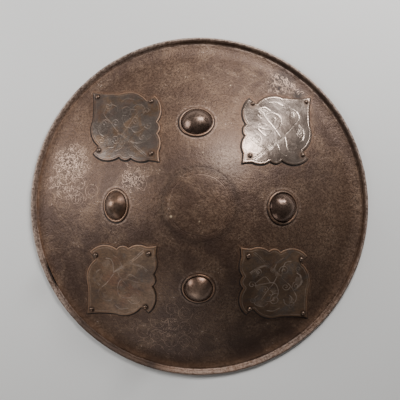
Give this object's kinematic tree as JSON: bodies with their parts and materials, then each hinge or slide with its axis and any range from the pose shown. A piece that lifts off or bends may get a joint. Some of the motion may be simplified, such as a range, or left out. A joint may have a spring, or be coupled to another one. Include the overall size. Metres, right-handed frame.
{
  "type": "round steel shield",
  "caption": "Round convex hand shield of dark steel with a rolled rim, domed bosses, riveted cusped plaques, and rings behind for the hand straps.",
  "frame": {"origin": "centre of the rim's circle, on the surface that the rim rests on", "axes": "+Z along the shield's axis, out of its front; +Y to its upper edge as held upright; +X to the right side as seen from the front"},
  "size_m": [0.4196, 0.4196, 0.089],
  "materials": {
    "plate_steel": "dark russet brown patina, worn and finely pitted, with traces of engraved scrolls",
    "boss_steel": "dark brown, smooth and rubbed bright on top",
    "plaque_steel": "grey brown, engraved with a leafy spray, brown in the corners",
    "rivet_steel": "dark brown with rust round the heads",
    "fitting_iron": "blackened forged iron, dull"
  },
  "bodies": {
    "root": {"shield_plate": "plate_steel", "boss_east": "boss_steel", "boss_north": "boss_steel", "boss_west": "boss_steel", "boss_south": "boss_steel", "plaque_northeast": "plaque_steel", "plaque_northwest": "plaque_steel", "plaque_southwest": "plaque_steel", "plaque_southeast": "plaque_steel", "rivet_northeast_inner": "rivet_steel", "rivet_northeast_right": "rivet_steel", "rivet_northeast_outer": "rivet_steel", "rivet_northeast_left": "rivet_steel", "rivet_northwest_inner": "rivet_steel", "rivet_northwest_right": "rivet_steel", "rivet_northwest_outer": "rivet_steel", "rivet_northwest_left": "rivet_steel", "rivet_southwest_inner": "rivet_steel", "rivet_southwest_right": "rivet_steel", "rivet_southwest_outer": "rivet_steel", "rivet_southwest_left": "rivet_steel", "rivet_southeast_inner": "rivet_steel", "rivet_southeast_right": "rivet_steel", "rivet_southeast_outer": "rivet_steel", "rivet_southeast_left": "rivet_steel", "ring_bolt_east": "fitting_iron", "ring_bolt_north": "fitting_iron", "ring_bolt_west": "fitting_iron", "ring_bolt_south": "fitting_iron", "washer_east": "fitting_iron", "washer_north": "fitting_iron", "washer_west": "fitting_iron", "washer_south": "fitting_iron", "grip_ring_east": "fitting_iron", "grip_ring_north": "fitting_iron", "grip_ring_west": "fitting_iron", "grip_ring_south": "fitting_iron"}
  },
  "joints": []
}
